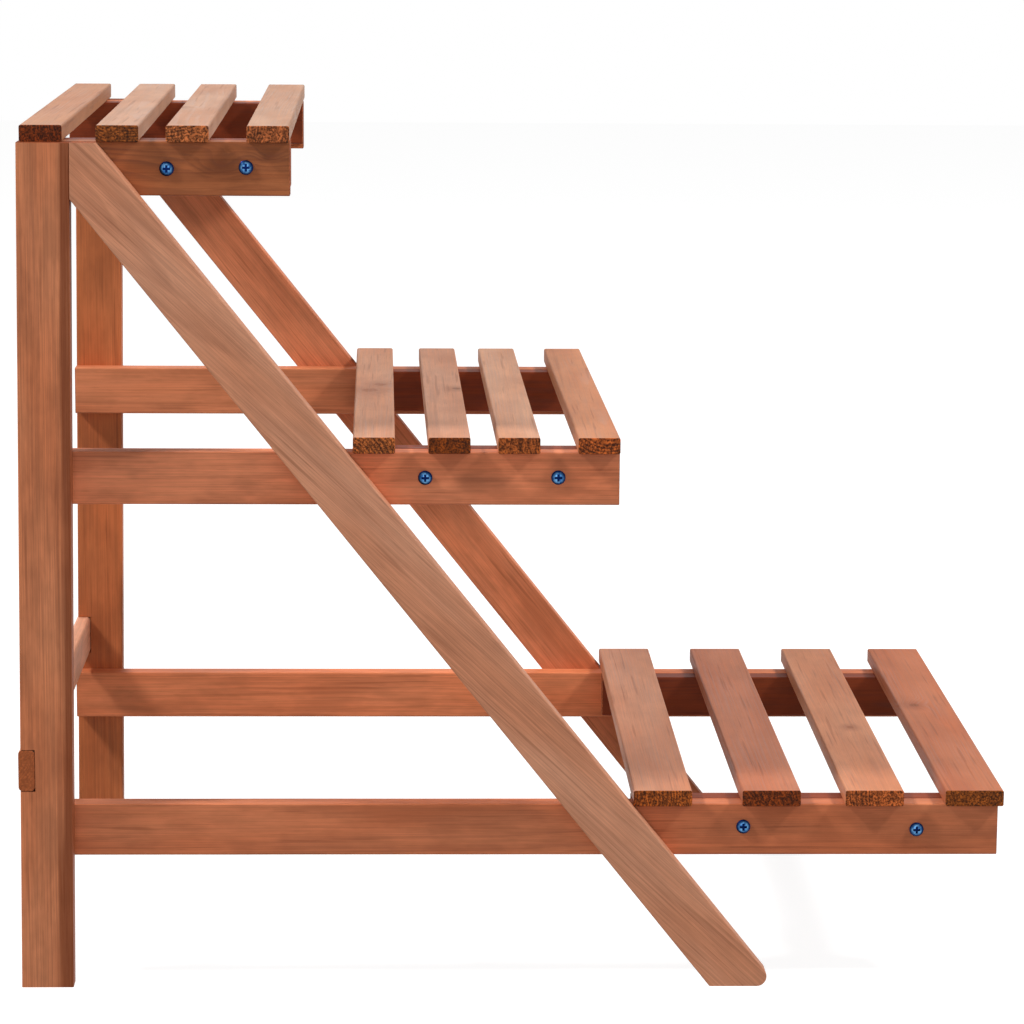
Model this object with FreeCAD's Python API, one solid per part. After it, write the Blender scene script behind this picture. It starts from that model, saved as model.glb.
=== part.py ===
import FreeCAD, Part
import math
import os

# A three-tier slatted plant stand of softwood boards. Two side frames, each a back post, a sloping
# brace and three rails, carry three shelves of four slats, and a crossbar ties the posts at the back.
# All sizes are in millimetres. +Z is up, +X is to the right of somebody who faces the stand's low
# front, and the front faces -Y. A "setback" is the distance towards the front from the place where the
# posts' back faces meet the floor, and a "depth" is the distance inwards from the outer face of a side
# frame.

# Side frames: the posts and braces form the outer layer, and the rails lie against their inner faces.
OVERALL_WIDTH = 680.0
FRAME_THICKNESS = 23.0
POST_WIDTH = 51.0
POST_LEAN = 7.0
BRACE_WIDTH = 53.0
BRACE_HEEL_SETBACK = 682.0
BRACE_BUTT_LENGTH = 54.0
BRACE_TOE_RADIUS = 10.0
RAIL_THICKNESS = 23.0
RAIL_HEIGHT = 52.0
FRAME_ARRIS = 1.5

# Shelves: the height is that of the rails' top edges, which the slats lie on. The right frame's rails
# and battens are cut a little shorter at the front than the left frame's.
TOP_SHELF_HEIGHT = 835.0
MIDDLE_SHELF_HEIGHT = 534.0
BOTTOM_SHELF_HEIGHT = 181.0
RIGHT_RAIL_SHORTFALL = 3.5
BATTEN_THICKNESS = 23.0
BATTEN_HEIGHT = 45.0
SLAT_THICKNESS = 16.0
NARROW_SLAT_WIDTH = 41.0
WIDE_SLAT_WIDTH = 58.0
SLAT_SHIFT = 13.0
SLAT_ARRIS = 2.0
SAWN_END_CHAMFER = 0.5

# Slat spacing: the uneven gaps of a stand put together by hand. The back slat of the top shelf has its
# own setback, and those of the other shelves are placed from the front edge of the brace. All slats
# are as long as the frames are wide, and are fixed a little too far to the right.
TOP_SLAT_SETBACK = 9.0
MIDDLE_SLAT_PLAY = 4.5
BOTTOM_SLAT_PLAY = 0.0
TOP_SLAT_GAPS = (32.0, 26.0, 36.0)
MIDDLE_SLAT_GAPS = (32.5, 27.0, 37.0)
BOTTOM_SLAT_GAPS = (50.0, 44.5, 41.5)
BOTTOM_SLAT_OVERHANG = 4.0

# How much further back a slat's right end lies than its left end, because no slat is quite square.
TOP_SLAT_SKEWS = (5.5, 6.0, 3.5, 3.5)
MIDDLE_SLAT_SKEWS = (4.5, 7.0, 7.0, 9.0)
BOTTOM_SLAT_SKEWS = (0.0, 1.5, -3.0, -5.0)

# Crossbar: it is let into a notch in the back edge of each post, above the bottom rails.
CROSSBAR_THICKNESS = 16.0
CROSSBAR_HEIGHT = 41.0
CROSSBAR_ARRIS = 4.0
CROSSBAR_PROUD = 2.0
CROSSBAR_ABOVE_SHELF = 19.0
NOTCH_PLAY = 0.5

# Shelf screws: pan-head screws through the rails into the battens. Each place is a distance from the
# rail's front end and a height above its middle line.
PAN_HEAD_DIAMETER = 14.0
PAN_HEAD_HEIGHT = 3.4
PAN_HEAD_RIM = 1.2
SHELF_SCREW_DIAMETER = 5.0
SHELF_SCREW_COVER = 8.0
TOP_SCREW_PLACES = ((42.0, 1.5), (118.0, 0.0))
MIDDLE_SCREW_PLACES = ((60.0, 1.5), (190.0, 1.0))
BOTTOM_SCREW_PLACES = ((81.0, 0.0), (254.0, 3.0))

# Slat screws: sunk into the undersides of the battens, one under each end of each slat.
SLAT_SCREW_DIAMETER = 4.0
SLAT_SCREW_HEAD_DIAMETER = 8.0
SLAT_SCREW_HEAD_HEIGHT = 2.4
SLAT_SCREW_HEAD_RIM = 0.8
SLAT_SCREW_SINK = 10.0
SLAT_SCREW_COVER = 5.0

# Crossbar screws: one countersunk screw through the crossbar into each post.
CROSSBAR_SCREW_DIAMETER = 4.5
CROSSBAR_SCREW_HEAD_DIAMETER = 9.0
CROSSBAR_SCREW_COVER = 13.0

# All screws: a pointed tip, a cross recess in the head, and holes that are a little wider.
SCREW_TIP = 5.0
SCREW_PLAY = 0.1
RECESS_SPAN_SHARE = 0.52
RECESS_SLOT_SHARE = 0.17
RECESS_DEPTH_SHARE = 0.62

# Dowels: blind wooden pins that hold each rail to the post and to the brace.
DOWEL_DIAMETER = 8.0
DOWEL_CHAMFER = 1.0
DOWEL_COVER = 8.0
DOWEL_PLAY = 0.1
DOWEL_END_PLAY = 0.5
DOWEL_PITCH = 20.0
BRACE_DOWEL_DROP = 4.0

OUTPUT_FOLDER = "parts"
LEFT = -1
RIGHT = 1
SIDES = {"left": LEFT, "right": RIGHT}
X_AXIS = FreeCAD.Vector(1, 0, 0)
Y_AXIS = FreeCAD.Vector(0, 1, 0)
Z_AXIS = FreeCAD.Vector(0, 0, 1)

LEFT_FACE_X = -OVERALL_WIDTH / 2
FRAME_WIDTH = OVERALL_WIDTH - SLAT_SHIFT
FRAME_MIDDLE_X = LEFT_FACE_X + FRAME_WIDTH / 2
SLAT_LENGTH = FRAME_WIDTH
SLAT_LEFT_X = LEFT_FACE_X + SLAT_SHIFT
RAIL_DEPTH = FRAME_THICKNESS
BATTEN_DEPTH = RAIL_DEPTH + RAIL_THICKNESS
POST_ANGLE = math.pi / 2 + math.atan2(POST_LEAN, TOP_SHELF_HEIGHT)
POST_DEPTH = POST_WIDTH / math.sin(POST_ANGLE)


def post_back(height):
    """The setback of the posts' back faces at a height, because the posts lean forwards."""
    return POST_LEAN * height / TOP_SHELF_HEIGHT


def post_front(height):
    return post_back(height) + POST_DEPTH


BRACE_BUTT_HEIGHT = TOP_SHELF_HEIGHT - BRACE_BUTT_LENGTH
BRACE_ANGLE = math.atan2(BRACE_BUTT_HEIGHT, BRACE_HEEL_SETBACK - post_front(BRACE_BUTT_HEIGHT))
CROSSBAR_MIDDLE = BOTTOM_SHELF_HEIGHT + CROSSBAR_ABOVE_SHELF + CROSSBAR_HEIGHT / 2
CROSSBAR_BACK = post_back(CROSSBAR_MIDDLE) - CROSSBAR_PROUD


def brace_front_setback(height):
    """How far forward the front edge of the brace lies at a height."""
    toe_setback = BRACE_HEEL_SETBACK + BRACE_WIDTH / math.sin(BRACE_ANGLE)
    return toe_setback - height / math.tan(BRACE_ANGLE)


class Shelf:
    """One tier: where its slats, rails, battens and screws lie."""

    def __init__(self, height, first_setback, slat_width, gaps, skews, overhang, screw_places):
        self.height = height
        self.slat_width = slat_width
        self.skews = skews
        self.slat_setbacks = [first_setback]
        for gap in gaps:
            self.slat_setbacks.append(self.slat_setbacks[-1] + slat_width + gap)
        self.front_setback = self.slat_setbacks[-1] + slat_width
        self.rail_end = self.front_setback - overhang
        self.middle = height - RAIL_HEIGHT / 2
        self.rail_start = post_back(self.middle)
        self.screws = [(self.rail_end - back, self.middle + rise) for back, rise in screw_places]

    def slat_setback_at(self, index, x):
        """Where the back edge of a slat lies, at a place along it."""
        along = (x - SLAT_LEFT_X) / SLAT_LENGTH
        return self.slat_setbacks[index] - self.skews[index] * along

    def slat_centre_at(self, index, x):
        return self.slat_setback_at(index, x) + self.slat_width / 2


SHELVES = {
    "top": Shelf(TOP_SHELF_HEIGHT, TOP_SLAT_SETBACK, NARROW_SLAT_WIDTH,
                 TOP_SLAT_GAPS, TOP_SLAT_SKEWS, 0, TOP_SCREW_PLACES),
    "middle": Shelf(MIDDLE_SHELF_HEIGHT, brace_front_setback(MIDDLE_SHELF_HEIGHT) + MIDDLE_SLAT_PLAY,
                    NARROW_SLAT_WIDTH, MIDDLE_SLAT_GAPS, MIDDLE_SLAT_SKEWS, 0, MIDDLE_SCREW_PLACES),
    "bottom": Shelf(BOTTOM_SHELF_HEIGHT, brace_front_setback(BOTTOM_SHELF_HEIGHT) + BOTTOM_SLAT_PLAY,
                    WIDE_SLAT_WIDTH, BOTTOM_SLAT_GAPS, BOTTOM_SLAT_SKEWS, BOTTOM_SLAT_OVERHANG,
                    BOTTOM_SCREW_PLACES),
}
FOREMOST_SETBACK = SHELVES["bottom"].front_setback + max(0, -BOTTOM_SLAT_SKEWS[-1])
CENTRE_SETBACK = (FOREMOST_SETBACK + min(0, CROSSBAR_BACK)) / 2


def y_at(setback):
    """The row's Y for a setback, with the middle of the whole stand at Y = 0."""
    return CENTRE_SETBACK - setback


def x_at(side, depth):
    """The row's X for a depth inside the outer face of one side frame."""
    return FRAME_MIDDLE_X + side * (FRAME_WIDTH / 2 - depth)


def point(side, depth, setback, height):
    return FreeCAD.Vector(x_at(side, depth), y_at(setback), height)


# ---- boards ----

def rounded_rectangle(centre, across, up, width, height, radius):
    """A face with round corners, centred on a point, in the plane of two unit vectors."""
    corners = []
    for s, t in ((1, 1), (-1, 1), (-1, -1), (1, -1)):
        inner = centre + across * (s * (width / 2 - radius)) + up * (t * (height / 2 - radius))
        corners.append((inner, across * s, up * t))
    edges = []
    swing = math.sqrt(0.5)
    for index, (inner, out_across, out_up) in enumerate(corners):
        first, last = (out_across, out_up) if index % 2 == 0 else (out_up, out_across)
        start = inner + first * radius
        middle = inner + (out_across + out_up) * (radius * swing)
        end = inner + last * radius
        edges.append(Part.Arc(start, middle, end).toShape())
        following, next_across, next_up = corners[(index + 1) % len(corners)]
        next_first = next_across if (index + 1) % 2 == 0 else next_up
        edges.append(Part.makeLine(end, following + next_first * radius))
    return Part.Face(Part.Wire(edges))


def board(start, run, across, width, up, height, radius):
    """A board with eased long edges: its section is centred on start and swept along run."""
    return rounded_rectangle(start, across, up, width, height, radius).extrude(run)


def end_edges(solid, axis):
    """The edges round the two sawn ends of a board that runs along an axis."""
    found = []
    for face in solid.Faces:
        if abs(face.normalAt(0, 0).dot(axis)) > math.cos(math.radians(1)) and is_end(solid, face, axis):
            found.extend(face.OuterWire.Edges)
    return found


def is_end(solid, face, axis):
    reach = [corner.Point.dot(axis) for corner in solid.Vertexes]
    place = face.CenterOfMass.dot(axis)
    return min(place - min(reach), max(reach) - place) < SAWN_END_CHAMFER


def chamfer_ends(solid, axis):
    """Takes the sharpness off the sawn ends."""
    return solid.makeChamfer(SAWN_END_CHAMFER, end_edges(solid, axis))


def drill(start, direction, diameter, length):
    """The space that a round hole takes."""
    return Part.makeCylinder(diameter / 2, length, start, direction)


# ---- fastener holes and fasteners ----

def cross_recess(head_diameter, top):
    """The space of a cross recess in a screw head, cut down from a height."""
    span = head_diameter * RECESS_SPAN_SHARE
    slot = head_diameter * RECESS_SLOT_SHARE
    depth = top * RECESS_DEPTH_SHARE
    first = Part.makeBox(span, slot, top, FreeCAD.Vector(-span / 2, -slot / 2, top - depth))
    second = Part.makeBox(slot, span, top, FreeCAD.Vector(-slot / 2, -span / 2, top - depth))
    return first.fuse(second)


def pointed_shank(diameter, length):
    """A shank that hangs below the origin and ends in a point."""
    body = Part.makeCylinder(diameter / 2, length - SCREW_TIP, FreeCAD.Vector(0, 0, SCREW_TIP - length))
    tip = Part.makeCone(0, diameter / 2, SCREW_TIP, FreeCAD.Vector(0, 0, -length))
    return body.fuse(tip)


def pan_head_screw(head_diameter, head_height, rim, diameter, length):
    """A screw along Z whose domed head sits on the plane Z = 0."""
    radius = head_diameter / 2
    dome = Part.Arc(
        FreeCAD.Vector(radius, 0, rim),
        FreeCAD.Vector(radius * math.sqrt(0.5), 0, rim + (head_height - rim) * math.sqrt(0.5)),
        FreeCAD.Vector(0, 0, head_height),
    ).toShape()
    outline = Part.Wire([
        Part.makeLine(FreeCAD.Vector(0, 0, 0), FreeCAD.Vector(radius, 0, 0)),
        Part.makeLine(FreeCAD.Vector(radius, 0, 0), FreeCAD.Vector(radius, 0, rim)),
        dome,
        Part.makeLine(FreeCAD.Vector(0, 0, head_height), FreeCAD.Vector(0, 0, 0)),
    ])
    head = Part.Face(outline).revolve(FreeCAD.Vector(0, 0, 0), Z_AXIS, 360)
    head = head.cut(cross_recess(head_diameter, head_height))
    return head.fuse(pointed_shank(diameter, length)).removeSplitter()


def countersunk_screw(head_diameter, diameter, length):
    """A screw along Z whose flat head ends flush with the plane Z = 0."""
    head_depth = (head_diameter - diameter) / 2
    head = Part.makeCone(diameter / 2, head_diameter / 2, head_depth, FreeCAD.Vector(0, 0, -head_depth))
    recess = cross_recess(head_diameter, head_depth)
    recess.translate(FreeCAD.Vector(0, 0, -head_depth))
    return head.fuse(pointed_shank(diameter, length)).cut(recess).removeSplitter()


def aimed(shape, place, outwards):
    """Turns a screw from +Z to the way that its head faces, and sets it in place."""
    placed = shape.copy()
    placed.Placement = FreeCAD.Placement(place, FreeCAD.Rotation(Z_AXIS, outwards))
    return placed


def shelf_screw_places(shelf, side):
    """Where the heads of the shelf screws sit on a rail's outer face."""
    return [point(side, RAIL_DEPTH, setback, height) for setback, height in shelf.screws]


def shelf_screw_length():
    return RAIL_THICKNESS + BATTEN_THICKNESS - SHELF_SCREW_COVER


def shelf_screw_holes(shelf, side):
    inwards = X_AXIS * -side
    diameter = SHELF_SCREW_DIAMETER + 2 * SCREW_PLAY
    return [drill(place, inwards, diameter, shelf_screw_length() + SCREW_PLAY)
            for place in shelf_screw_places(shelf, side)]


def slat_screw_places(shelf, side):
    """Where the heads of the slat screws bear, inside the undersides of the battens."""
    x = x_at(side, BATTEN_DEPTH + BATTEN_THICKNESS / 2)
    height = shelf.height - BATTEN_HEIGHT + SLAT_SCREW_SINK
    return [FreeCAD.Vector(x, y_at(shelf.slat_centre_at(index, x)), height)
            for index in range(len(shelf.slat_setbacks))]


def slat_screw_length():
    return BATTEN_HEIGHT - SLAT_SCREW_SINK + SLAT_THICKNESS - SLAT_SCREW_COVER


def slat_screw_hole(place):
    """A counterbore for the head, and a hole for the shank."""
    sink = drill(place - Z_AXIS * SLAT_SCREW_SINK, Z_AXIS,
                 SLAT_SCREW_HEAD_DIAMETER + 2 * SCREW_PLAY, SLAT_SCREW_SINK)
    shank = drill(place, Z_AXIS, SLAT_SCREW_DIAMETER + 2 * SCREW_PLAY, slat_screw_length() + SCREW_PLAY)
    return [sink, shank]


def crossbar_screw_place(side):
    """Where a crossbar screw's flat head shows in the crossbar's back face."""
    return point(side, FRAME_THICKNESS / 2, CROSSBAR_BACK, CROSSBAR_MIDDLE)


def crossbar_screw_length():
    return CROSSBAR_PROUD + POST_WIDTH - CROSSBAR_SCREW_COVER


def crossbar_screw_hole(side):
    place = crossbar_screw_place(side)
    inwards = Y_AXIS * -1
    wide = CROSSBAR_SCREW_HEAD_DIAMETER + 2 * SCREW_PLAY
    narrow = CROSSBAR_SCREW_DIAMETER + 2 * SCREW_PLAY
    sink = Part.makeCone(wide / 2, narrow / 2, (wide - narrow) / 2, place, inwards)
    return [sink, drill(place, inwards, narrow, crossbar_screw_length() + SCREW_PLAY)]


# ---- dowels ----

def post_dowel_places(shelf):
    """Setback and height of the two dowels where a rail crosses a post."""
    offset = DOWEL_PITCH / 2 * math.sqrt(0.5)
    setback = shelf.rail_start + POST_DEPTH / 2
    return [(setback - offset, shelf.middle + offset), (setback + offset, shelf.middle - offset)]


def brace_dowel_places(shelf):
    """Setback and height of the two dowels on the brace's middle line, a little below the rail's."""
    height = shelf.middle - BRACE_DOWEL_DROP
    setback = brace_front_setback(height) - BRACE_WIDTH / 2 / math.sin(BRACE_ANGLE)
    along = DOWEL_PITCH / 2 * math.cos(BRACE_ANGLE)
    down = DOWEL_PITCH / 2 * math.sin(BRACE_ANGLE)
    return [(setback - along, height + down), (setback + along, height - down)]


def dowel_holes(side, places):
    depth = DOWEL_COVER - DOWEL_END_PLAY
    length = FRAME_THICKNESS + RAIL_THICKNESS - 2 * depth
    diameter = DOWEL_DIAMETER + 2 * DOWEL_PLAY
    return [drill(point(side, depth, setback, height), X_AXIS * -side, diameter, length)
            for setback, height in places]


def dowels(side, places):
    """The dowels themselves, with eased ends."""
    length = FRAME_THICKNESS + RAIL_THICKNESS - 2 * DOWEL_COVER
    made = []
    for setback, height in places:
        pin = drill(point(side, DOWEL_COVER, setback, height), X_AXIS * -side, DOWEL_DIAMETER, length)
        rims = [edge for edge in pin.Edges if edge.Closed]
        made.append(pin.makeChamfer(DOWEL_CHAMFER, rims))
    return made


# ---- side frames ----

def sloping_board(side, heel_setback, angle, width):
    """A frame board, longer than it has to be, whose rear edge meets the floor at a setback."""
    slope = FreeCAD.Vector(0, math.cos(angle), math.sin(angle))
    across = FreeCAD.Vector(0, -math.sin(angle), math.cos(angle))
    middle = point(side, FRAME_THICKNESS / 2, heel_setback + width / math.sin(angle) / 2, 0)
    spare = slope * width * 2
    run = slope * (TOP_SHELF_HEIGHT / math.sin(angle)) + spare * 2
    return board(middle - spare, run, X_AXIS, FRAME_THICKNESS, across, width, FRAME_ARRIS)


def level_block():
    """All the space from the floor up to the top slats."""
    reach = SHELVES["bottom"].front_setback
    corner = FreeCAD.Vector(-reach, -reach, 0)
    return Part.makeBox(2 * reach, 2 * reach, TOP_SHELF_HEIGHT, corner)


def crossbar_notch():
    """The space that the crossbar needs, open to the back."""
    corner = FreeCAD.Vector(LEFT_FACE_X, y_at(CROSSBAR_BACK + CROSSBAR_THICKNESS + NOTCH_PLAY),
                            CROSSBAR_MIDDLE - CROSSBAR_HEIGHT / 2 - NOTCH_PLAY)
    return Part.makeBox(OVERALL_WIDTH, POST_WIDTH, CROSSBAR_HEIGHT + 2 * NOTCH_PLAY, corner)


def post(side):
    """A back post: cut level, notched for the crossbar, and drilled for its screw and the dowels."""
    solid = sloping_board(side, 0, POST_ANGLE, POST_WIDTH).common(level_block())
    cuts = [crossbar_notch()] + crossbar_screw_hole(side)
    for shelf in SHELVES.values():
        cuts += dowel_holes(side, post_dowel_places(shelf))
    return solid.cut(cuts)


def brace_outline():
    """The side view of a brace: its foot, its rounded toe, and the two cuts at its top."""
    toe_setback = brace_front_setback(0)
    reach = BRACE_TOE_RADIUS / math.tan(BRACE_ANGLE / 2)
    slope_start = (toe_setback - reach * math.cos(BRACE_ANGLE), reach * math.sin(BRACE_ANGLE))
    centre = (toe_setback - reach, BRACE_TOE_RADIUS)
    lean = (math.pi - BRACE_ANGLE) / 2
    bulge = (centre[0] + BRACE_TOE_RADIUS * math.sin(lean), centre[1] - BRACE_TOE_RADIUS * math.cos(lean))
    corners = [
        slope_start,
        (brace_front_setback(TOP_SHELF_HEIGHT), TOP_SHELF_HEIGHT),
        (post_front(TOP_SHELF_HEIGHT), TOP_SHELF_HEIGHT),
        (post_front(BRACE_BUTT_HEIGHT), BRACE_BUTT_HEIGHT),
        (BRACE_HEEL_SETBACK, 0),
        (toe_setback - reach, 0),
    ]
    points = [FreeCAD.Vector(LEFT_FACE_X, y_at(setback), height) for setback, height in corners]
    edges = [Part.makeLine(points[i], points[i + 1]) for i in range(len(points) - 1)]
    middle = FreeCAD.Vector(LEFT_FACE_X, y_at(bulge[0]), bulge[1])
    edges.append(Part.Arc(points[-1], middle, points[0]).toShape())
    return Part.Face(Part.Wire(edges))


def brace(side):
    """A sloping brace: cut level at the floor, along the post, and level under the top shelf."""
    solid = sloping_board(side, BRACE_HEEL_SETBACK, BRACE_ANGLE, BRACE_WIDTH)
    solid = solid.common(brace_outline().extrude(X_AXIS * OVERALL_WIDTH))
    cuts = []
    for shelf in SHELVES.values():
        cuts += dowel_holes(side, brace_dowel_places(shelf))
    return solid.cut(cuts)


def rail_front(shelf, side):
    """Setback of the front end of a rail and of its batten."""
    if side == RIGHT:
        return shelf.rail_end - RIGHT_RAIL_SHORTFALL
    return shelf.rail_end


def rail(shelf, side):
    """A rail: flush with the back of the post, and drilled for its dowels and the shelf screws."""
    start = point(side, RAIL_DEPTH + RAIL_THICKNESS / 2, shelf.rail_start, shelf.middle)
    run = Y_AXIS * (shelf.rail_start - rail_front(shelf, side))
    solid = board(start, run, X_AXIS, RAIL_THICKNESS, Z_AXIS, RAIL_HEIGHT, FRAME_ARRIS)
    solid = chamfer_ends(solid, Y_AXIS)
    cuts = dowel_holes(side, post_dowel_places(shelf) + brace_dowel_places(shelf))
    return solid.cut(cuts + shelf_screw_holes(shelf, side))


# ---- shelves ----

def batten(shelf, side):
    """A short batten under the slats, on the inner face of a rail."""
    x = x_at(side, BATTEN_DEPTH + BATTEN_THICKNESS / 2)
    back = shelf.slat_setback_at(0, x)
    start = FreeCAD.Vector(x, y_at(back), shelf.height - BATTEN_HEIGHT / 2)
    run = Y_AXIS * (back - rail_front(shelf, side))
    solid = board(start, run, X_AXIS, BATTEN_THICKNESS, Z_AXIS, BATTEN_HEIGHT, FRAME_ARRIS)
    solid = chamfer_ends(solid, Y_AXIS)
    cuts = shelf_screw_holes(shelf, side)
    for place in slat_screw_places(shelf, side):
        cuts += slat_screw_hole(place)
    return solid.cut(cuts)


def slat(shelf, index):
    """One slat, laid across both rails and battens, and drilled from below."""
    centre = y_at(shelf.slat_centre_at(index, SLAT_LEFT_X))
    start = FreeCAD.Vector(SLAT_LEFT_X, centre, shelf.height + SLAT_THICKNESS / 2)
    run = X_AXIS * SLAT_LENGTH
    solid = board(start, run, Y_AXIS, shelf.slat_width, Z_AXIS, SLAT_THICKNESS, SLAT_ARRIS)
    solid = chamfer_ends(solid, X_AXIS)
    solid.rotate(start, Z_AXIS, math.degrees(math.atan2(shelf.skews[index], SLAT_LENGTH)))
    cuts = []
    for side in SIDES.values():
        cuts += slat_screw_hole(slat_screw_places(shelf, side)[index])
    return solid.cut(cuts)


def crossbar():
    """The bar that ties the two posts together at the back."""
    start = FreeCAD.Vector(LEFT_FACE_X, y_at(CROSSBAR_BACK + CROSSBAR_THICKNESS / 2), CROSSBAR_MIDDLE)
    run = X_AXIS * FRAME_WIDTH
    solid = board(start, run, Y_AXIS, CROSSBAR_THICKNESS, Z_AXIS, CROSSBAR_HEIGHT, CROSSBAR_ARRIS)
    solid = chamfer_ends(solid, X_AXIS)
    return solid.cut(crossbar_screw_hole(LEFT) + crossbar_screw_hole(RIGHT))


def shelf_screws(shelf):
    """The four pan-head screws that hold one shelf to its rails."""
    screw = pan_head_screw(PAN_HEAD_DIAMETER, PAN_HEAD_HEIGHT, PAN_HEAD_RIM,
                           SHELF_SCREW_DIAMETER, shelf_screw_length())
    return [aimed(screw, place, X_AXIS * side)
            for side in SIDES.values() for place in shelf_screw_places(shelf, side)]


def slat_screws(shelf):
    """The eight screws that hold one shelf's slats down to its battens."""
    screw = pan_head_screw(SLAT_SCREW_HEAD_DIAMETER, SLAT_SCREW_HEAD_HEIGHT, SLAT_SCREW_HEAD_RIM,
                           SLAT_SCREW_DIAMETER, slat_screw_length())
    return [aimed(screw, place, Z_AXIS * -1)
            for side in SIDES.values() for place in slat_screw_places(shelf, side)]


def crossbar_screws():
    screw = countersunk_screw(CROSSBAR_SCREW_HEAD_DIAMETER, CROSSBAR_SCREW_DIAMETER,
                              crossbar_screw_length())
    return [aimed(screw, crossbar_screw_place(side), Y_AXIS) for side in SIDES.values()]


def save(node, shape):
    shape.exportStep(os.path.join(OUTPUT_FOLDER, node + ".step"))


def save_side(name, side):
    """Writes one side frame: post, brace, rails, battens and dowels."""
    save(name + "_post", post(side))
    save(name + "_brace", brace(side))
    post_pins = []
    brace_pins = []
    for tier, shelf in SHELVES.items():
        save(name + "_" + tier + "_rail", rail(shelf, side))
        save(name + "_" + tier + "_batten", batten(shelf, side))
        post_pins += dowels(side, post_dowel_places(shelf))
        brace_pins += dowels(side, brace_dowel_places(shelf))
    save(name + "_post_dowels", Part.makeCompound(post_pins))
    save(name + "_brace_dowels", Part.makeCompound(brace_pins))


def save_shelf(tier, shelf):
    """Writes one tier: its slats, numbered from the back, and its screws."""
    for index in range(len(shelf.slat_setbacks)):
        save(tier + "_slat_" + str(index + 1), slat(shelf, index))
    save(tier + "_shelf_screws", Part.makeCompound(shelf_screws(shelf)))
    save(tier + "_slat_screws", Part.makeCompound(slat_screws(shelf)))


def main():
    os.makedirs(OUTPUT_FOLDER, exist_ok=True)
    for name, side in SIDES.items():
        save_side(name, side)
    for tier, shelf in SHELVES.items():
        save_shelf(tier, shelf)
    save("crossbar", crossbar())
    save("crossbar_screws", Part.makeCompound(crossbar_screws()))


main()
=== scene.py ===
"""Dresses a three-tier slatted plant stand of softwood, and sets the camera, floor and lights.

Lengths are in metres. +Z is up, the slats run along X, and the low shelf faces -Y. Every board is a
solid of wood: growth rings lie round a pith line that runs along the board, so that one field gives
the long grain of its faces and the rings of its sawn ends.
"""

import math
import random

import bpy
from mathutils import Matrix, Vector


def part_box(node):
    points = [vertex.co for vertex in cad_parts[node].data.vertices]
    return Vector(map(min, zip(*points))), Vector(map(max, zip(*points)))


MM = 0.001
X = Vector((1, 0, 0))
Y = Vector((0, 1, 0))
Z = Vector((0, 0, 1))

TIERS = ("top", "middle", "bottom")
SIDES = ("left", "right")
SLATS_PER_TIER = 4

# ---- camera: on the stand's left side, a little above the top shelf; the angles are degrees ----
CAMERA_PLACE = Vector((-3.8415, 0.1113, 1.0989))
CAMERA_TURN = 1.709
CAMERA_DIP = 10.032
CAMERA_ROLL = 0.407
CAMERA_SENSOR = 36.0
CAMERA_LENS = 128.73
CAMERA_REACH = 100.0

# ---- light: two lamps high on either side, a wide one behind the camera, one on the far side ----
# Each lamp has its direction from the stand's centre, its width and its watts.
STAND_CENTRE = Vector((0.0, 0.0, 0.45))
LAMP_DISTANCE = 6.0
LAMPS = {
    "front_lamp": (Vector((-0.30, -0.95, 1.0)), 0.9, 250.0),
    "back_lamp": (Vector((-0.30, 0.95, 1.0)), 0.9, 275.0),
    "camera_lamp": (Vector((-1.0, 0.05, 0.22)), 3.5, 62.0),
    "far_lamp": (Vector((1.0, 0.15, 0.9)), 2.0, 26.0),
}
WHITE = (1.0, 1.0, 1.0, 1.0)
SKY_STRENGTH = 0.21
SKY_LOOK = 1.0
FLOOR_SIZE = 24.0
FLOOR_SHADE = (0.30, 0.30, 0.30, 1.0)
FLOOR_GLOW = 0.90

# ---- the slope of the braces: their lower edges run from the posts down to the floor ----
BRACE_RISE = 0.781
BRACE_RUN = 0.6245
BRACE_ANGLE = math.atan2(BRACE_RISE, BRACE_RUN)
UPHILL = Vector((0, math.cos(BRACE_ANGLE), math.sin(BRACE_ANGLE)))
OVERHILL = Vector((0, -math.sin(BRACE_ANGLE), math.cos(BRACE_ANGLE)))

# ---- wood: the tone of each board's long faces, as screen values ----
TONES = {
    "left_post": (188, 118, 80), "right_post": (181, 103, 60),
    "left_brace": (199, 141, 109), "right_brace": (209, 128, 88),
    "left_top_rail": (164, 97, 57), "right_top_rail": (212, 126, 80),
    "left_middle_rail": (207, 125, 86), "right_middle_rail": (195, 118, 79),
    "left_bottom_rail": (191, 113, 75), "right_bottom_rail": (208, 122, 80),
    "top_slat_1": (164, 116, 85), "top_slat_2": (170, 130, 105),
    "top_slat_3": (170, 130, 105), "top_slat_4": (168, 130, 105),
    "middle_slat_1": (189, 135, 103), "middle_slat_2": (185, 132, 102),
    "middle_slat_3": (190, 140, 109), "middle_slat_4": (179, 118, 81),
    "bottom_slat_1": (185, 127, 96), "bottom_slat_2": (175, 108, 77),
    "bottom_slat_3": (192, 129, 94), "bottom_slat_4": (168, 100, 67),
    "crossbar": (214, 152, 120),
}
# The battens' tone is their wood's colour, darkened with painted shade for the shade they sit in
# under the slats.
BATTEN_TONE_WITH_SHADE = (124, 52, 20)

# ---- wood: the tone of the sawn ends, where it isn't the plain one ----
SAWN_TONE = (136, 72, 42)
SAWN_TONES = {
    "left_post": (109, 46, 10), "crossbar": (158, 84, 46),
    "top_slat_1": (87, 35, 8), "top_slat_2": (106, 55, 20),
    "top_slat_3": (137, 75, 39), "top_slat_4": (129, 69, 36),
    "middle_slat_1": (134, 72, 33), "middle_slat_2": (95, 42, 7),
    "middle_slat_3": (121, 60, 24), "middle_slat_4": (137, 66, 26),
    "bottom_slat_1": (131, 65, 22), "bottom_slat_2": (98, 41, 9),
    "bottom_slat_3": (138, 69, 31), "bottom_slat_4": (108, 54, 16),
}

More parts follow.
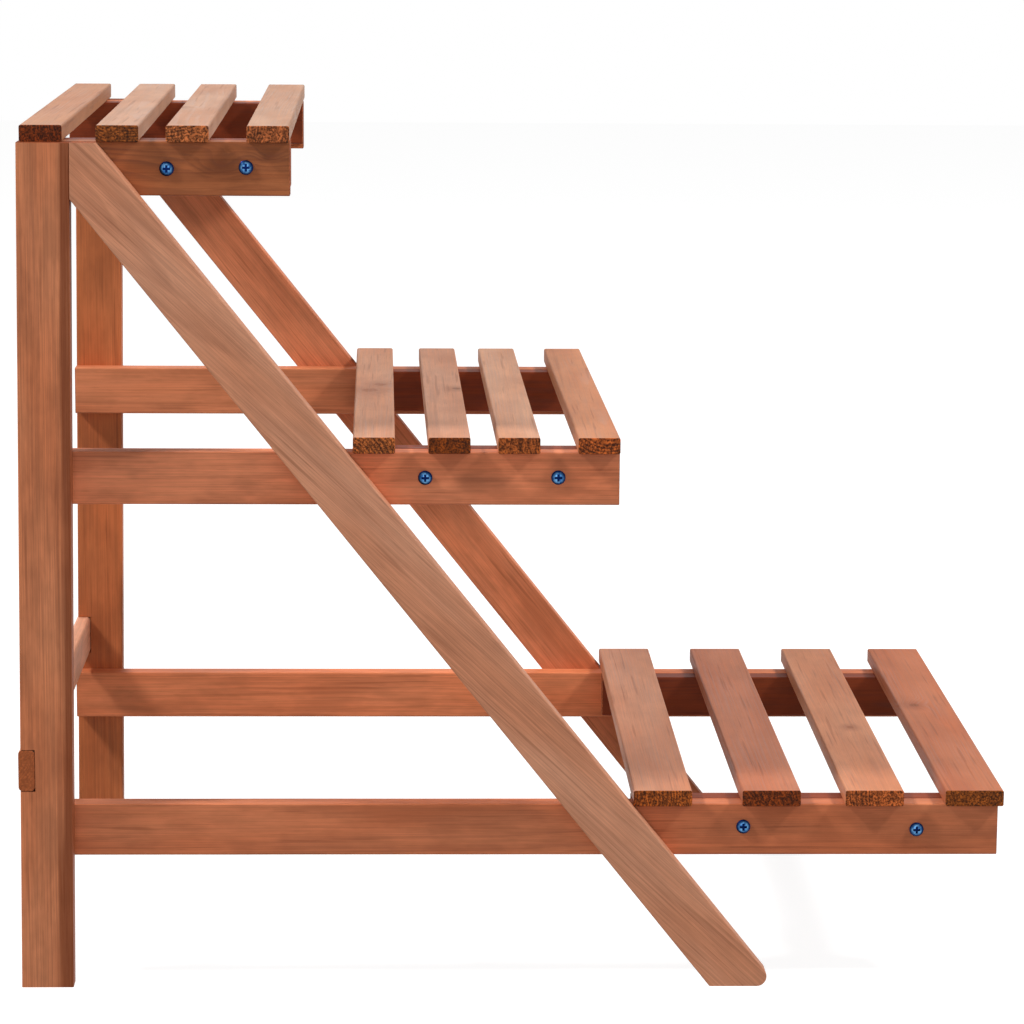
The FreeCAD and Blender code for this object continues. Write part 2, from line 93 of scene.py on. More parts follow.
# ---- wood: the tone's red, green and blue are multiplied by these for each kind of wood ----
PALE_SHADE = (1.05, 1.06, 1.08)
WARM_SHADE = (1.01, 0.95, 0.91)
DEEP_SHADE = (0.72, 0.62, 0.56)

# ---- wood: how many cells of noise each mark has in a metre, along the grain and across it ----
KNOT_CELLS = (110.0, 160.0, 40.0)
WAVE_CELLS = (3.4, 16.0, 16.0)
FADE_CELLS = (5.0, 26.0, 26.0)
FINE_CELLS = (9.0, 900.0, 900.0)
STREAK_CELLS = (2.2, 120.0, 120.0)
CLOUD_CELLS = (4.0, 17.0, 17.0)
BLOTCH_CELLS = (13.0, 36.0, 36.0)
DASH_CELLS = (8.0, 250.0, 250.0)
PORE_CELLS = (60.0, 1500.0, 1500.0)
SPECK_CELLS = (40.0, 520.0, 460.0)
SAW_CELLS = (40.0, 60.0, 900.0)
PATCH_CELLS = (20.0, 190.0, 190.0)

# ---- wood: where in its noise, from 0 to 1, each mark begins and where it is full ----
FADE_RANGE = (0.36, 0.66)
FINE_RANGE = (0.34, 0.66)
WIDE_RANGE = (0.3, 0.7)
STREAK_RANGE = (0.52, 0.76)
CLOUD_RANGE = (0.32, 0.70)
BLOTCH_RANGE = (0.34, 0.66)
DASH_RANGE = (0.62, 0.74)
PORE_RANGE = (0.63, 0.74)
SPECK_RANGE = (0.42, 0.60)
PATCH_RANGE = (0.36, 0.64)

# ---- wood: the share of the deep tone that each mark brings in, or of the sawn ends' tone ----
RING_TONE_SHARE = 0.35
STREAK_SHARE = 0.30
DASH_SHARE = 0.42
PORE_SHARE = 0.22
HALO_SHARE = 0.42
HEART_SHARE = 0.88
CORE_SHARE = 0.55

# ---- wood: knots, in radii of the knot, and how far one pushes the rings aside ----
KNOT_LENGTHWISE = 0.62
KNOT_WOBBLE = 0.7
KNOT_CORE = (0.55, 1.0)
KNOT_HALO = (0.8, 3.4)
KNOT_REACH = 4.5
KNOT_PUSH = 1.7
LEAST_KNOT = 0.1 * MM
NO_KNOT = (Vector((9.0, 0.0, 0.0)), 0.0)
KNOTS_PER_BOARD = 2

# ---- wood: rings; the late wood darkens and ends at these shares of a ring's width ----
RING_UNEVEN_SCALE = 90.0
RING_UNEVENNESS = 2.2
LATE_WOOD_RISE = (0.25, 0.84)
LATE_WOOD_FALL = (0.86, 1.0)
FADED_SHARE = 0.15

# ---- wood: heartwood, a band past one line; a board with none has that line far away ----
HEART_RAGGEDNESS = 18.0 * MM
HEART_BORDER = (-2.5 * MM, 4.0 * MM)
HEART_FINE = (0.70, 1.0)
NO_HEART = 9.0

# ---- wood: sawn ends, found by how straight a face looks along the grain ----
SAWN_FACING = (0.25, 0.75)
GRIT_OF_RINGS = (1.35, 0.60)
GRIT_OF_SPECKS = (1.60, 0.38)
GRIT_OF_PATCHES = (0.66, 1.34)

# ---- wood: gloss, and the relief that planing and sawing leave ----
WOOD_SHEEN = 0.2
RING_ROUGHNESS = (0.60, 0.48)
FINE_ROUGHNESS = (-0.05, 0.06)
SAWN_ROUGHNESS = 0.22
RELIEF_STRENGTH = 0.35
RELIEF_DEPTH = 0.25 * MM
RING_RELIEF = 0.35
FINE_RELIEF = 0.65
PORE_RELIEF = 0.4
CORE_RELIEF = 0.5
SPECK_RELIEF = -1.2

# ---- wood: how the boards' own values vary ----
SEED_REACH = 40.0
RING_WIDTH_SPREAD = (0.85, 1.2)
PITH_REACH = (30.0, 75.0)

# ---- shelf screws: blue zinc with painted shade on the rims and in the recesses; HEAD_SINK is how far below a head's top its recess and rim lie ----
HEAD_SINK = 1.9 * MM
RECESS_SHADE_EDGE = 0.5 * MM
# The rim colour below is painted shade, laid on the heads' rims where their surface turns away from
# the head's axis.
RIM_SHADE_FACING = (0.78, 0.97)
ZINC_DARK = (38, 84, 140)
ZINC_PALE = (96, 146, 190)
ZINC_RIM_SHADE = (14, 28, 58)
# The recess colour below is painted shade, laid in the cross recesses and round the rims' foot.
ZINC_RECESS_SHADE = (8, 24, 66)
ZINC_CELLS = (260.0, 260.0, 260.0)
ZINC_RANGE = (0.35, 0.65)
ZINC_ROUGHNESS = (0.24, 0.42)
SCRATCH_CELLS = (1400.0, 2600.0, 700.0)
SCRATCH_STRENGTH = 0.25
SCRATCH_DEPTH = 0.05 * MM

# ---- dowels: turned beech ----
BEECH_PALE = (214, 178, 134)
BEECH_DEEP = (178, 136, 94)
BEECH_FINE = (0.85, 1.1)
BEECH_ROUGHNESS = (0.5, 0.65)
BEECH_SEED = Vector((3.0, 5.0, 7.0))


def linear(channel):
    """A screen value from 0 to 255 as the linear value that a shader uses."""
    share = channel / 255.0
    if share <= 0.04045:
        return share / 12.92
    return ((share + 0.055) / 1.055) ** 2.4


def colour(red, green, blue):
    return (linear(red), linear(green), linear(blue), 1.0)


# ---- node trees ----

class Graph:
    """Adds nodes to one node tree and links them, so that a shader reads like a formula."""

    def __init__(self, tree):
        self.tree = tree

    def node(self, kind, **settings):
        made = self.tree.nodes.new(kind)
        for name, value in settings.items():
            setattr(made, name, value)
        return made

    def feed(self, socket, value):
        if isinstance(value, bpy.types.NodeSocket):
            self.tree.links.new(value, socket)
        else:
            socket.default_value = value

    def feed_all(self, sockets, values):
        for socket, value in zip(sockets, values):
            self.feed(socket, value)

    def math(self, operation, *values, clamp=False):
        made = self.node("ShaderNodeMath", operation=operation, use_clamp=clamp)
        self.feed_all(made.inputs, values)
        return made.outputs[0]

    def times(self, first, second):
        return self.math("MULTIPLY", first, second)

    def plus(self, first, second):
        return self.math("ADD", first, second)

    def minus(self, first, second):
        return self.math("SUBTRACT", first, second)

    def vector(self, operation, *values):
        made = self.node("ShaderNodeVectorMath", operation=operation)
        self.feed_all(made.inputs, values)
        return made.outputs["Value" if operation in ("LENGTH", "DOT_PRODUCT") else "Vector"]

    def ramp(self, value, low, high, first=0.0, last=1.0):
        """Runs smoothly from first to last as a value goes from low to high."""
        made = self.node("ShaderNodeMapRange", interpolation_type="SMOOTHSTEP")
        self.feed_all(made.inputs, (value, low, high, first, last))
        return made.outputs[0]

    def noise(self, place, cells, detail=2.0, roughness=0.5):
        """Noise from 0 to 1, with a number of cells in each metre along each axis."""
        made = self.node("ShaderNodeTexNoise", noise_dimensions="3D")
        self.feed(made.inputs["Vector"], self.vector("MULTIPLY", place, cells))
        made.inputs["Scale"].default_value = 1.0
        made.inputs["Detail"].default_value = detail
        made.inputs["Roughness"].default_value = roughness
        return made.outputs["Fac"]

    def noise_along(self, value, scale):
        """Noise from 0 to 1 that changes with one value alone."""
        made = self.node("ShaderNodeTexNoise", noise_dimensions="1D")
        self.feed(made.inputs["W"], value)
        made.inputs["Scale"].default_value = scale
        made.inputs["Detail"].default_value = 1.0
        return made.outputs["Fac"]

    def mix(self, share, first, last):
        """A colour between two others. The node's sockets 6, 7 and 2 are the ones for colours."""
        made = self.node("ShaderNodeMix", data_type="RGBA")
        self.feed(made.inputs[0], share)
        self.feed(made.inputs[6], first)
        self.feed(made.inputs[7], last)
        return made.outputs[2]

    def scaled(self, tint, factor):
        """A colour made lighter or darker by a factor."""
        made = self.node("ShaderNodeVectorMath", operation="SCALE")
        self.feed(made.inputs[0], tint)
        self.feed(made.inputs["Scale"], factor)
        return made.outputs["Vector"]

    def split(self, vector):
        made = self.node("ShaderNodeSeparateXYZ")
        self.feed(made.inputs[0], vector)
        return made.outputs[0], made.outputs[1], made.outputs[2]

    def join(self, x, y, z):
        made = self.node("ShaderNodeCombineXYZ")
        self.feed_all(made.inputs, (x, y, z))
        return made.outputs[0]

    def bump(self, height, strength, depth):
        made = self.node("ShaderNodeBump")
        made.inputs["Strength"].default_value = strength
        made.inputs["Distance"].default_value = depth
        self.feed(made.inputs["Height"], height)
        return made.outputs["Normal"]

    def object_place(self):
        return self.node("ShaderNodeTexCoord").outputs["Object"]

    def object_normal(self):
        return self.node("ShaderNodeTexCoord").outputs["Normal"]

    def use(self, group, **values):
        """Places a node group and feeds its named inputs."""
        made = self.node("ShaderNodeGroup", node_tree=group)
        for name, value in values.items():
            self.feed(made.inputs[name.replace("_", " ").capitalize()], value)
        return made.outputs


SOCKET_KINDS = {"f": "NodeSocketFloat", "v": "NodeSocketVector", "c": "NodeSocketColor"}


def new_group(name, inputs, outputs):
    """A shader node group with named sockets, given as {name: kind letter}."""
    tree = bpy.data.node_groups.new(name, "ShaderNodeTree")
    for label, kind in inputs.items():
        tree.interface.new_socket(label, in_out="INPUT", socket_type=SOCKET_KINDS[kind])
    for label, kind in outputs.items():
        tree.interface.new_socket(label, in_out="OUTPUT", socket_type=SOCKET_KINDS[kind])
    graph = Graph(tree)
    given = graph.node("NodeGroupInput").outputs
    result = graph.node("NodeGroupOutput").inputs
    return tree, graph, given, result


def new_material(name):
    """A new material, its graph and its Principled shader."""
    material = bpy.data.materials.new(name)
    material.use_nodes = True
    tree = material.node_tree
    return material, Graph(tree), tree.nodes["Principled BSDF"]


# ---- wood, as shared groups ----

def knot_group():
    """A knot right through the board, which pushes the rings aside round a dark core."""
    tree, graph, given, result = new_group(
        "knot",
        {"Place": "v", "Centre": "v", "Radius": "f"},
        {"Push": "f", "Core": "f", "Halo": "f"})
    offset = graph.vector("SUBTRACT", given["Place"], given["Centre"])
    wobble = graph.minus(graph.noise(given["Place"], KNOT_CELLS), 0.5)
    x, y, _ = graph.split(offset)
    flat = graph.join(graph.times(x, KNOT_LENGTHWISE), y, 0.0)
    size = graph.math("MAXIMUM", given["Radius"], LEAST_KNOT)
    distance = graph.math("DIVIDE", graph.vector("LENGTH", flat), size)
    distance = graph.plus(distance, graph.times(wobble, KNOT_WOBBLE))
    bulge = graph.times(graph.ramp(distance, 0.0, KNOT_REACH, 1.0, 0.0), given["Radius"])
    graph.feed(result["Push"], graph.times(bulge, KNOT_PUSH))
    graph.feed(result["Core"], graph.ramp(distance, *KNOT_CORE, 1.0, 0.0))
    graph.feed(result["Halo"], graph.ramp(distance, *KNOT_HALO, 1.0, 0.0))
    return tree


def ring_group():
    """Growth rings round the pith: a saw-tooth from pale early wood to a dark line of late wood."""
    tree, graph, given, result = new_group(
        "growth_rings",
        {"Place": "v", "Seed": "v", "Pith": "v", "Slope": "v", "Ring width": "f", "Waviness": "f",
         "Push": "f"},
        {"Late wood": "f", "Ring tone": "f"})
    x, y, z = graph.split(graph.vector("SUBTRACT", given["Place"], given["Pith"]))
    _, lean_y, lean_z = graph.split(given["Slope"])
    away_y = graph.minus(y, graph.times(x, lean_y))
    away_z = graph.minus(z, graph.times(x, lean_z))
    seeded = graph.vector("ADD", given["Place"], given["Seed"])
    wave = graph.minus(graph.noise(seeded, WAVE_CELLS, 3.0), 0.5)
    wave = graph.times(wave, given["Waviness"])
    radius = graph.vector("LENGTH", graph.join(away_y, away_z, 0.0))
    radius = graph.plus(graph.plus(radius, wave), given["Push"])
    uneven = graph.times(graph.noise_along(radius, RING_UNEVEN_SCALE), RING_UNEVENNESS)
    phase = graph.plus(graph.math("DIVIDE", radius, given["Ring width"]), uneven)
    tooth = graph.math("FRACT", phase)
    rise = graph.ramp(tooth, *LATE_WOOD_RISE)
    fall = graph.ramp(tooth, *LATE_WOOD_FALL, 1.0, 0.0)
    faded = graph.ramp(graph.noise(seeded, FADE_CELLS), *FADE_RANGE, FADED_SHARE, 1.0)
    graph.feed(result["Late wood"], graph.times(graph.times(rise, fall), faded))
    white = graph.node("ShaderNodeTexWhiteNoise", noise_dimensions="1D")
    graph.feed(white.inputs["W"], graph.math("FLOOR", phase))
    graph.feed(result["Ring tone"], white.outputs["Value"])
    return tree


def fibre_group():
    """The fibres, streaks and short dark lines along a board, its clouds of colour and pores."""
    tree, graph, given, result = new_group(
        "fibres",
        {"Place": "v", "Seed": "v"},
        {"Fine": "f", "Streak": "f", "Cloud": "f", "Blotch": "f", "Dash": "f", "Pores": "f"})
    seeded = graph.vector("ADD", given["Place"], given["Seed"])
    graph.feed(result["Fine"], graph.noise(seeded, FINE_CELLS, 2.0, 0.6))
    graph.feed(result["Streak"], graph.noise(seeded, STREAK_CELLS, 3.0, 0.55))
    graph.feed(result["Cloud"], graph.noise(seeded, CLOUD_CELLS))
    blotch = graph.noise(seeded, BLOTCH_CELLS, 3.0, 0.6)
    graph.feed(result["Blotch"], graph.ramp(blotch, *BLOTCH_RANGE, -1.0, 1.0))
    graph.feed(result["Dash"], graph.ramp(graph.noise(seeded, DASH_CELLS, 1.0), *DASH_RANGE))
    graph.feed(result["Pores"], graph.ramp(graph.noise(seeded, PORE_CELLS, 1.0), *PORE_RANGE))
    return tree


def sawn_end_group():
    """Where a face cuts across the grain, and the open pores and saw marks of that face."""
    tree, graph, given, result = new_group(
        "sawn_end",
        {"Place": "v", "Seed": "v", "Along": "v"},
        {"Mask": "f", "Speckle": "f", "Saw": "f"})
    facing = graph.vector("DOT_PRODUCT", graph.object_normal(), given["Along"])
    graph.feed(result["Mask"], graph.ramp(graph.math("ABSOLUTE", facing), *SAWN_FACING))
    seeded = graph.vector("ADD", given["Place"], given["Seed"])
    specks = graph.noise(seeded, SPECK_CELLS, 3.0, 0.7)
    graph.feed(result["Speckle"], graph.ramp(specks, *SPECK_RANGE))
    graph.feed(result["Saw"], graph.noise(seeded, SAW_CELLS, 1.0))
    return tree


def timber_group(knot, rings, fibres, sawn_end):
    """The whole wood: its colour, roughness and relief."""
    tree, graph, given, result = new_group(
        "timber",
        {"Place": "v", "Along": "v", "Seed": "v", "Pith": "v", "Slope": "v", "Ring width": "f",
         "Waviness": "f", "Contrast": "f", "Fibre": "f", "Clouds": "f",
         "Pale": "c", "Deep": "c", "Warm": "c", "Sawn": "c",
         "Knot": "v", "Knot radius": "f", "Second knot": "v", "Second radius": "f",
         "Heart edge": "f", "Heart tilt": "f", "Grit": "f"},
        {"Color": "c", "Roughness": "f", "Normal": "v"})
    place = given["Place"]
    seed = given["Seed"]
    first = graph.use(knot, place=place, centre=given["Knot"], radius=given["Knot radius"])
    second = graph.use(
        knot, place=place, centre=given["Second knot"], radius=given["Second radius"])
    halo = graph.math("MAXIMUM", first["Halo"], second["Halo"])
    core = graph.math("MAXIMUM", first["Core"], second["Core"])
    ring = graph.use(
        rings, place=place, seed=seed, pith=given["Pith"], slope=given["Slope"],
        ring_width=given["Ring width"], waviness=given["Waviness"],
        push=graph.plus(first["Push"], second["Push"]))
    fibre = graph.use(fibres, place=place, seed=seed)
    end = graph.use(sawn_end, place=place, seed=seed, along=given["Along"])

    base = long_face(graph, given, ring, fibre)
    heart = heartwood(graph, given, fibre)
    base = graph.mix(graph.times(heart, HEART_SHARE), base, given["Sawn"])
    base = graph.mix(graph.times(halo, HALO_SHARE), base, given["Deep"])
    base = graph.mix(graph.times(core, CORE_SHARE), base, given["Sawn"])
    base = graph.mix(end["Mask"], base, sawn_face(graph, given, ring, end))
    graph.feed(result["Color"], base)

    rough = graph.ramp(ring["Late wood"], 0.0, 1.0, *RING_ROUGHNESS)
    rough = graph.plus(rough, graph.ramp(fibre["Fine"], *WIDE_RANGE, *FINE_ROUGHNESS))
    rough = graph.plus(rough, graph.times(end["Mask"], SAWN_ROUGHNESS))
    graph.feed(result["Roughness"], rough)
    graph.feed(result["Normal"], relief(graph, ring, fibre, end, core))
    return tree


def long_face(graph, given, ring, fibre):
    """The colour along the grain: clouds, then rings, streaks, fibres and pores."""
    deep = given["Deep"]
    contrast = given["Contrast"]
    base = graph.mix(graph.ramp(fibre["Cloud"], *CLOUD_RANGE), given["Pale"], given["Warm"])
    base = graph.mix(graph.times(ring["Late wood"], contrast), base, deep)
    tone = graph.times(graph.times(ring["Ring tone"], contrast), RING_TONE_SHARE)
    base = graph.mix(tone, base, deep)
    streak = graph.ramp(fibre["Streak"], *STREAK_RANGE)
    base = graph.mix(graph.times(streak, STREAK_SHARE), base, deep)
    base = graph.mix(graph.times(fibre["Dash"], DASH_SHARE), base, deep)
    fine = graph.ramp(fibre["Fine"], *FINE_RANGE, -1.0, 1.0)
    base = graph.scaled(base, graph.math("MULTIPLY_ADD", fine, given["Fibre"], 1.0))
    base = graph.scaled(base, graph.math("MULTIPLY_ADD", fibre["Blotch"], given["Clouds"], 1.0))
    return graph.mix(graph.times(fibre["Pores"], PORE_SHARE), base, deep)


def heartwood(graph, given, fibre):
    """A darker band past one line along the board, a little tilted, with a ragged border."""
    x, y, _ = graph.split(given["Place"])
    ragged = graph.times(graph.minus(fibre["Streak"], 0.5), HEART_RAGGEDNESS)
    line = graph.math("MULTIPLY_ADD", x, given["Heart tilt"], given["Heart edge"])
    band = graph.ramp(graph.minus(graph.plus(y, ragged), line), *HEART_BORDER)
    return graph.times(band, graph.ramp(fibre["Fine"], *WIDE_RANGE, *HEART_FINE))


def sawn_face(graph, given, ring, end):
    """The colour across the grain: dark, with rings, specks and patches."""
    grit = graph.times(graph.ramp(ring["Late wood"], 0.0, 0.7, *GRIT_OF_RINGS),
                       graph.ramp(end["Speckle"], 0.0, 1.0, *GRIT_OF_SPECKS))
    patchy = graph.noise(graph.vector("ADD", given["Place"], given["Seed"]), PATCH_CELLS)
    grit = graph.times(grit, graph.ramp(patchy, *PATCH_RANGE, *GRIT_OF_PATCHES))
    grit = graph.minus(grit, 1.0)
    return graph.scaled(given["Sawn"], graph.math("MULTIPLY_ADD", grit, given["Grit"], 1.0))


def relief(graph, ring, fibre, end, core):
    """The surface that planing and sawing leave: ridges of late wood, fibres and saw marks."""
    planed = graph.plus(graph.times(ring["Late wood"], RING_RELIEF),
                        graph.times(fibre["Fine"], FINE_RELIEF))
    planed = graph.minus(planed, graph.times(fibre["Pores"], PORE_RELIEF))
    planed = graph.minus(planed, graph.times(core, CORE_RELIEF))
    sawn = graph.plus(graph.times(end["Speckle"], SPECK_RELIEF), end["Saw"])
    height = graph.plus(graph.times(planed, graph.minus(1.0, end["Mask"])),
                        graph.times(sawn, end["Mask"]))
    return graph.bump(height, RELIEF_STRENGTH, RELIEF_DEPTH)


# ---- boards ----

class Board:
    """How one board was cut from its tree: its directions, its tones and its knots.

    pith, ring_width, waviness and the knots are in millimetres, and run_out is in degrees.
    """

    def __init__(self, node, along, width, contrast=0.3, ring_width=3.2, slope=0.012,
                 pith=None, knots=(), heart_edge=NO_HEART, waviness=9.0, fibre=0.08, clouds=0.13,
                 run_out=0.0, heart_tilt=0.0, grit=0.5):
        low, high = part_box(node)
        chance = random.Random(node)
        self.node = node
        self.along = along.normalized()
        self.width = width.normalized()
        self.run_out = math.radians(run_out)
        self.centre = (low + high) / 2
        # Boards that are not in TONES are the battens, whose tone carries painted shade.
        self.tone = TONES.get(node, BATTEN_TONE_WITH_SHADE)
        self.sawn = colour(*SAWN_TONES.get(node, SAWN_TONE))
        self.fibre = fibre
        self.clouds = clouds
        self.contrast = contrast
        self.ring_width = ring_width * MM * chance.uniform(*RING_WIDTH_SPREAD)
        self.waviness = waviness * MM
        self.heart_edge = heart_edge
        self.heart_tilt = heart_tilt
        self.grit = grit
        self.seed = Vector([chance.uniform(0.0, SEED_REACH) for _ in range(3)])
        self.slope = Vector((0.0, chance.uniform(-slope, slope), chance.uniform(-slope, slope)))
        turn = chance.uniform(0.0, 2.0 * math.pi)
        reach = chance.uniform(*PITH_REACH) * MM
        chosen = Vector((0.0, math.cos(turn) * reach, math.sin(turn) * reach))
        self.pith = Vector(pith) * MM if pith else chosen
        self.knots = [(Vector(place) * MM, radius * MM) for place, radius in knots]
        self.knots += [NO_KNOT] * (KNOTS_PER_BOARD - len(self.knots))

    def shade(self, factors):
        """The board's tone with each channel raised or lowered on the screen's scale."""
        return colour(*(channel * factor for channel, factor in zip(self.tone, factors)))

    def turn(self):
        """The wood's directions as a rotation: along the grain, across the board, through it."""
        through = self.along.cross(self.width)
        skew = Matrix.Rotation(self.run_out, 3, through)
        return Matrix((skew @ self.along, skew @ self.width, through)).transposed().to_euler()


def side_frame_boards():
    """The posts, braces, rails and battens. A post's width is counted towards the front."""
    boards = [
        Board("left_post", Z, -Y, ring_width=2.4, slope=0.004, pith=(0, -12, -60),
              heart_edge=13.5 * MM, heart_tilt=0.010, fibre=0.13, contrast=0.2, clouds=0.16),
        Board("right_post", Z, -Y, ring_width=3.0, slope=0.004, pith=(0, 40, 55), waviness=8.0,
              contrast=0.22),
        Board("left_brace", UPHILL, OVERHILL, ring_width=3.6, pith=(0, 22, 64), slope=0.05,
              fibre=0.10, clouds=0.08, run_out=-8.0, contrast=0.26),
        Board("right_brace", UPHILL, OVERHILL, ring_width=3.4, pith=(0, -20, 60), contrast=0.2),
        Board("left_top_rail", Y, Z, contrast=0.55, pith=(0, -34, 46), waviness=24.0, slope=0.1,
              knots=(((-64, 4, 0), 4.5), ((-112, 12, 0), 3.0))),
        Board("left_middle_rail", Y, Z, contrast=0.22, pith=(0, -20, 58), clouds=0.18),
        Board("left_bottom_rail", Y, Z, contrast=0.22, pith=(0, 14, 60)),
    ]
    for tier in TIERS:
        boards.append(Board("right_" + tier + "_rail", Y, Z, contrast=0.25))
        for side in SIDES:
            boards.append(Board(side + "_" + tier + "_batten", Y, Z))
    return boards


def shelf_boards():
    """The slats and the crossbar. Some slats have knots, given as their places and radii."""
    knots = {
        "middle_slat_1": (((34, -6, 0), 8.0), ((-8, 5, 0), 10.0)),
        "middle_slat_2": (((6, -15, 0), 6.0),),
        "bottom_slat_3": (((-62, -6, 0), 4.5),),
        "bottom_slat_4": (((42, 12, 0), 6.0),),
        "top_slat_3": (((-70, 22, 0), 6.0),),
    }
    boards = []
    for tier in TIERS:
        for number in range(1, SLATS_PER_TIER + 1):
            node = tier + "_slat_" + str(number)
            boards.append(Board(node, X, Y, contrast=0.2, knots=knots.get(node, ()),
                                clouds=0.06, grit=1.0))
    boards.append(Board("crossbar", X, Z, contrast=0.25, grit=0.2))
    return boards


def wood_material(board, timber):
    """The material of one board: the shared wood, with this board's own values."""
    material, graph, shader = new_material(board.node + "_wood")
    place = graph.node("ShaderNodeMapping", vector_type="TEXTURE")
    graph.feed(place.inputs["Vector"], graph.object_place())
    place.inputs["Location"].default_value = board.centre
    place.inputs["Rotation"].default_value = board.turn()
    (knot, knot_radius), (second_knot, second_radius) = board.knots
    wood = graph.use(
        timber, place=place.outputs["Vector"], along=board.along, seed=board.seed, pith=board.pith,
        slope=board.slope, ring_width=board.ring_width, waviness=board.waviness,
        contrast=board.contrast, fibre=board.fibre, clouds=board.clouds,
        pale=board.shade(PALE_SHADE), warm=board.shade(WARM_SHADE), deep=board.shade(DEEP_SHADE),
        sawn=board.sawn, knot=knot, knot_radius=knot_radius, second_knot=second_knot,
        second_radius=second_radius, heart_edge=board.heart_edge, heart_tilt=board.heart_tilt,
        grit=board.grit)
    graph.feed(shader.inputs["Base Color"], wood["Color"])
    graph.feed(shader.inputs["Roughness"], wood["Roughness"])
    graph.feed(shader.inputs["Normal"], wood["Normal"])
    shader.inputs["Specular IOR Level"].default_value = WOOD_SHEEN
    return material


# ---- fasteners ----

def zinc_material():
    """Blue zinc plating, clouded and finely scratched, with painted shade that darkens the rims and
    the recesses.
    """
    material, graph, shader = new_material("blue_zinc_painted_shade")
    place = graph.object_place()
    cloud = graph.ramp(graph.noise(place, ZINC_CELLS, 3.0), *ZINC_RANGE)
    tint = graph.mix(cloud, colour(*ZINC_DARK), colour(*ZINC_PALE))
    # Painted shade: where the surface turns away from the head's axis, on the rims and the recess
    # walls, the zinc is darkened.
    facing = graph.math("ABSOLUTE", graph.vector("DOT_PRODUCT", graph.object_normal(), X))
    tint = graph.mix(graph.ramp(facing, *RIM_SHADE_FACING), colour(*ZINC_RIM_SHADE), tint)
    # Painted shade: more than HEAD_SINK below a head's top, in the cross recess and round the rim's
    # foot, the zinc is darkened.
    low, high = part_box("top_shelf_screws")
    offset = graph.math("ABSOLUTE", graph.minus(graph.split(place)[0], (low.x + high.x) / 2))
    sunk_shade_start = (high.x - low.x) / 2 - HEAD_SINK
    tint = graph.mix(graph.ramp(offset, sunk_shade_start, sunk_shade_start + RECESS_SHADE_EDGE), colour(*ZINC_RECESS_SHADE), tint)
    graph.feed(shader.inputs["Base Color"], tint)
    scratch = graph.noise(place, SCRATCH_CELLS)
    graph.feed(shader.inputs["Roughness"], graph.ramp(scratch, *WIDE_RANGE, *ZINC_ROUGHNESS))
    graph.feed(shader.inputs["Normal"], graph.bump(scratch, SCRATCH_STRENGTH, SCRATCH_DEPTH))
    shader.inputs["Metallic"].default_value = 1.0
    return material


def dowel_material(fibres):
    """Plain turned beech, with its grain along the dowel."""
    material, graph, shader = new_material("dowel_beech")
    fibre = graph.use(fibres, place=graph.object_place(), seed=BEECH_SEED)
    tint = graph.mix(fibre["Streak"], colour(*BEECH_PALE), colour(*BEECH_DEEP))
    tint = graph.scaled(tint, graph.ramp(fibre["Fine"], *WIDE_RANGE, *BEECH_FINE))
    graph.feed(shader.inputs["Base Color"], tint)
    rough = graph.ramp(fibre["Fine"], *WIDE_RANGE, *BEECH_ROUGHNESS)
    graph.feed(shader.inputs["Roughness"], rough)
    return material


def dress(node, material):
    slots = node.data.materials
    slots.clear()
    slots.append(material)


def dress_stand(nodes):
    """Gives every board its own cut of wood, every screw its zinc and every dowel its beech."""
    fibres = fibre_group()
    timber = timber_group(knot_group(), ring_group(), fibres, sawn_end_group())
    for board in side_frame_boards() + shelf_boards():
        dress(nodes[board.node], wood_material(board, timber))
    zinc = zinc_material()
    beech = dowel_material(fibres)
    for name, node in nodes.items():
        if name.endswith("screws"):
            dress(node, zinc)
        if name.endswith("dowels"):
            dress(node, beech)


# ---- surroundings ----

def add_to_scene(name, data):
    added = bpy.data.objects.new(name, data)
    bpy.context.scene.collection.objects.link(added)
    return added


def add_camera():
    data = bpy.data.cameras.new("camera")
    data.sensor_width = CAMERA_SENSOR
    data.lens = CAMERA_LENS
    data.clip_end = CAMERA_REACH
    camera = add_to_scene("camera", data)
    heading = Matrix.Rotation(math.radians(-90.0 - CAMERA_TURN), 4, "Z")
    dip = Matrix.Rotation(math.radians(90.0 - CAMERA_DIP), 4, "X")
    roll = Matrix.Rotation(math.radians(CAMERA_ROLL), 4, "Z")
    camera.matrix_world = Matrix.Translation(CAMERA_PLACE) @ heading @ dip @ roll
    bpy.context.scene.camera = camera


def add_lamps():
    for name, (direction, size, power) in LAMPS.items():
        data = bpy.data.lights.new(name, "AREA")
        data.shape = "DISK"
        data.size = size
        data.energy = power
        lamp = add_to_scene(name, data)
        lamp.location = STAND_CENTRE + direction.normalized() * LAMP_DISTANCE
        lamp.rotation_euler = direction.to_track_quat("Z", "Y").to_euler()


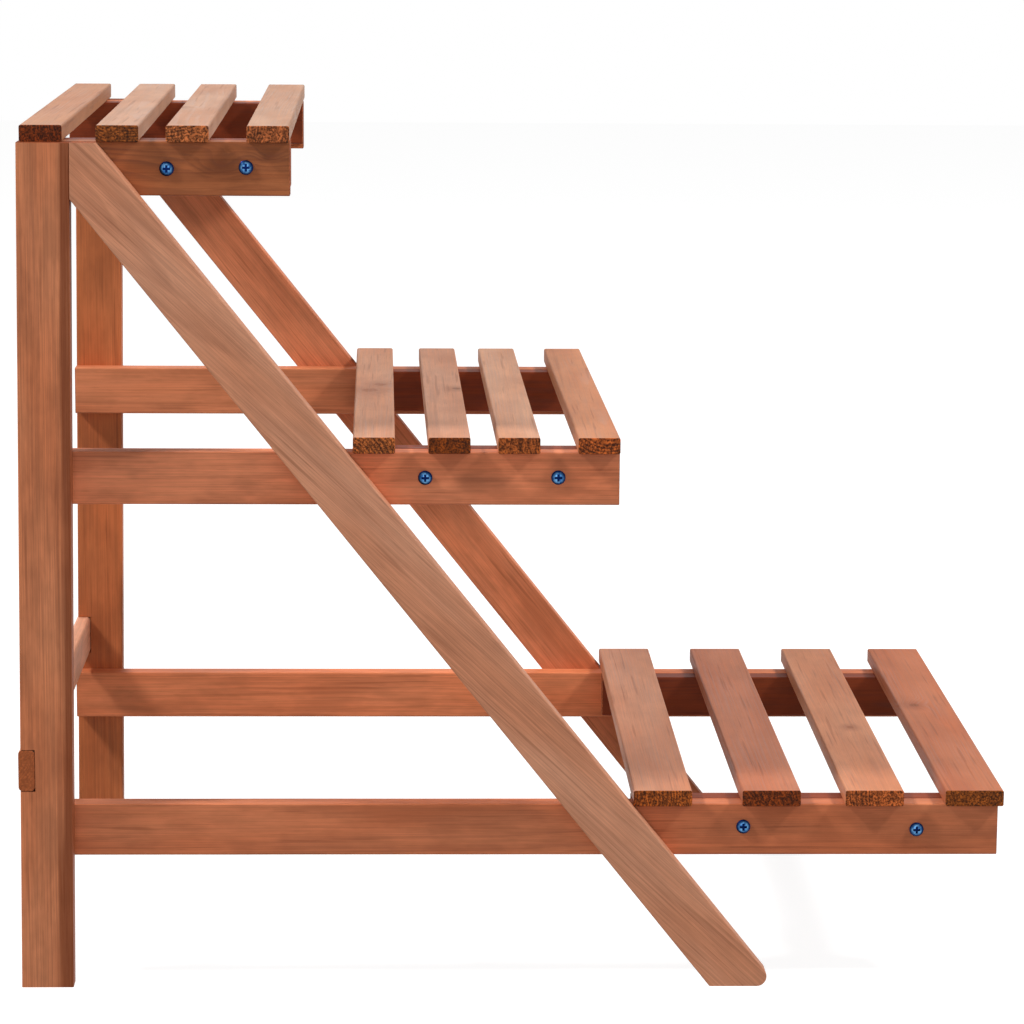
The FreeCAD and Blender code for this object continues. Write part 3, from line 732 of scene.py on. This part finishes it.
def sees_background(graph):
    """1 for the rays that look at the backdrop: from the camera, reflected or through glass."""
    path = graph.node("ShaderNodeLightPath").outputs
    share = graph.plus(path["Is Camera Ray"], path["Is Glossy Ray"])
    return graph.math("ADD", share, path["Is Transmission Ray"], clamp=True)


def add_sky():
    """A sky that lights the stand softly and looks plain white."""
    world = bpy.data.worlds.new("studio")
    bpy.context.scene.world = world
    world.use_nodes = True
    graph = Graph(world.node_tree)
    background = world.node_tree.nodes["Background"]
    background.inputs["Color"].default_value = WHITE
    strength = graph.ramp(sees_background(graph), 0.0, 1.0, SKY_STRENGTH, SKY_LOOK)
    graph.feed(background.inputs["Strength"], strength)


def add_floor():
    """A pale floor that looks white and keeps the stand's soft shadow."""
    half = FLOOR_SIZE / 2
    mesh = bpy.data.meshes.new("floor")
    corners = [(-half, -half, 0.0), (half, -half, 0.0), (half, half, 0.0), (-half, half, 0.0)]
    mesh.from_pydata(corners, [], [(0, 1, 2, 3)])
    mesh.materials.append(floor_material())
    add_to_scene("floor", mesh)


def floor_material():
    """A matt shade that takes the shadow, with a glow on top that makes it look white."""
    material, graph, _ = new_material("studio_floor")
    material.node_tree.nodes.clear()
    matt = graph.node("ShaderNodeBsdfDiffuse")
    matt.inputs["Color"].default_value = FLOOR_SHADE
    glow = graph.node("ShaderNodeEmission")
    glow.inputs["Color"].default_value = WHITE
    graph.feed(glow.inputs["Strength"], graph.times(sees_background(graph), FLOOR_GLOW))
    total = graph.node("ShaderNodeAddShader")
    graph.feed_all(total.inputs, (matt.outputs[0], glow.outputs[0]))
    result = graph.node("ShaderNodeOutputMaterial")
    graph.feed(result.inputs["Surface"], total.outputs[0])
    return material


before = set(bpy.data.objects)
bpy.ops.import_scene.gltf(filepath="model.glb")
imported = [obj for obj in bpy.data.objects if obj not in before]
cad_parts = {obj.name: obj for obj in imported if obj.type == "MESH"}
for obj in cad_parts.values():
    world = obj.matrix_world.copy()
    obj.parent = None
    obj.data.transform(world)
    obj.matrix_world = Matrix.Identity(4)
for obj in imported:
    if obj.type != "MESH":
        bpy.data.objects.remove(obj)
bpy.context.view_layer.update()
bpy.context.scene.view_settings.view_transform = "Standard"
dress_stand(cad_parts)
add_floor()
add_lamps()
add_sky()
add_camera()
